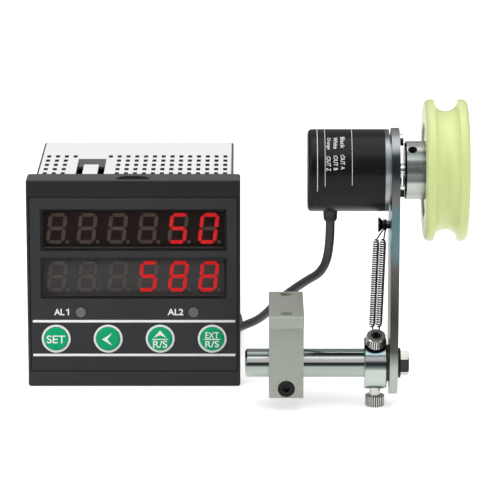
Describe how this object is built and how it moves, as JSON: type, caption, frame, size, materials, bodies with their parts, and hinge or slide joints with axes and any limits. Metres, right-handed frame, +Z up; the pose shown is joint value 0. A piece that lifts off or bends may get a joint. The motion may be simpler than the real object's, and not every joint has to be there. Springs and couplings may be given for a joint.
{
  "type": "cable length counter",
  "caption": "Panel counter with two digital displays, cabled to a grooved measuring wheel on a spring-loaded encoder arm that clamps to a rod.",
  "frame": {"origin": "middle of the bezel's bottom face, on the surface that the indicator stands on", "axes": "+X to the right of the indicator's face, +Y from its face to its back, +Z up; the rod and the wheel's axle lie along X"},
  "size_m": [0.1949, 0.2284, 0.138],
  "materials": {
    "bezel_grey": "fine matt",
    "overlay_grey": "satin film",
    "smoked_window": "smoked gloss",
    "display_black": "matt",
    "segment_lit": "lit red",
    "segment_unlit": "unlit brown",
    "lamp_grey": "diffused",
    "key_green": "gloss",
    "ring_white": "print white",
    "housing_white": "fine matt",
    "board_green": "solder mask",
    "component_black": "matt",
    "transformer_iron": "varnished",
    "terminal_grey": "matt",
    "steel_bright": "polished",
    "steel_plate": "satin",
    "aluminium_blasted": "bead blasted",
    "aluminium_turned": "turned",
    "bronze": "sintered",
    "screw_black": "black oxide",
    "case_black": "satin black",
    "tyre_pale": "translucent elastomer",
    "rubber_black": "matt",
    "jacket_black": "satin",
    "wire_mixed": "gloss"
  },
  "bodies": {
    "stand": {"meter_bezel": "bezel_grey", "front_overlay": "overlay_grey", "display_window_upper": "smoked_window", "display_window_lower": "smoked_window", "display_module_upper": "display_black", "display_module_lower": "display_black", "segments_lit": "segment_lit", "segments_unlit": "segment_unlit", "alarm_lamps": "lamp_grey", "key_rings": "ring_white", "key_switches": "component_black", "meter_housing": "housing_white", "front_board": "board_green", "power_board": "board_green", "signal_board": "board_green", "power_transformer": "transformer_iron", "board_components": "component_black", "terminal_block": "terminal_grey", "terminal_screws": "steel_bright", "pivot_rod": "steel_bright", "pivot_bolt": "steel_bright", "pivot_washer": "screw_black", "clamp_collar": "steel_bright", "collar_lock_screw": "steel_bright", "spring_post_screw": "steel_bright", "spring_left": "steel_plate", "spring_right": "steel_plate", "cable_lead": "jacket_black", "cable_coil": "jacket_black", "coil_ties": "component_black", "cable_tail": "jacket_black", "cable_boot": "rubber_black", "sensor_wires": "wire_mixed"},
    "arm": {"arm_plate": "steel_plate", "pivot_bush": "bronze", "spring_anchor_screw": "screw_black", "encoder_case": "case_black", "encoder_case_screws": "screw_black", "encoder_flange": "aluminium_turned", "flange_screws": "steel_bright", "encoder_bearings": "steel_bright", "encoder_board": "board_green", "optical_sensor": "component_black", "cable_gland": "rubber_black"},
    "wheel": {"wheel_hub": "aluminium_turned", "wheel_tyre": "tyre_pale", "hub_set_screw": "screw_black", "encoder_shaft": "steel_bright", "code_disc": "steel_plate"},
    "clamp": {"clamp_block": "aluminium_blasted", "clamp_screw": "screw_black"},
    "key_set_cap": {"key_set": "key_green"},
    "key_shift_cap": {"key_shift": "key_green"},
    "key_up_cap": {"key_up": "key_green"},
    "key_exit_cap": {"key_exit": "key_green"}
  },
  "joints": [
    {"name": "arm_swing", "type": "hinge", "parent": "stand", "child": "arm", "pos_m": [0.1155, -0.036, 0.0196], "axis": [1, 0, 0], "range_deg": [-30, 30], "stiffness_Nm_per_rad": 1.4, "deforming": ["spring_left", "spring_right", "cable_lead"]},
    {"name": "wheel_spin", "type": "hinge", "parent": "arm", "child": "wheel", "pos_m": [0.1375, -0.036, 0.107], "axis": [1, 0, 0], "continuous": true},
    {"name": "block_slide", "type": "slide", "parent": "stand", "child": "clamp", "axis": [1, 0, 0], "range_m": [-0.01, 0.022]},
    {"name": "key_set_press", "type": "slide", "parent": "stand", "child": "key_set_cap", "axis": [0, 1, 0], "range_m": [0, 0.0006], "stiffness_N_per_m": 1500},
    {"name": "key_shift_press", "type": "slide", "parent": "stand", "child": "key_shift_cap", "axis": [0, 1, 0], "range_m": [0, 0.0006], "stiffness_N_per_m": 1500},
    {"name": "key_up_press", "type": "slide", "parent": "stand", "child": "key_up_cap", "axis": [0, 1, 0], "range_m": [0, 0.0006], "stiffness_N_per_m": 1500},
    {"name": "key_exit_press", "type": "slide", "parent": "stand", "child": "key_exit_cap", "axis": [0, 1, 0], "range_m": [0, 0.0006], "stiffness_N_per_m": 1500}
  ]
}
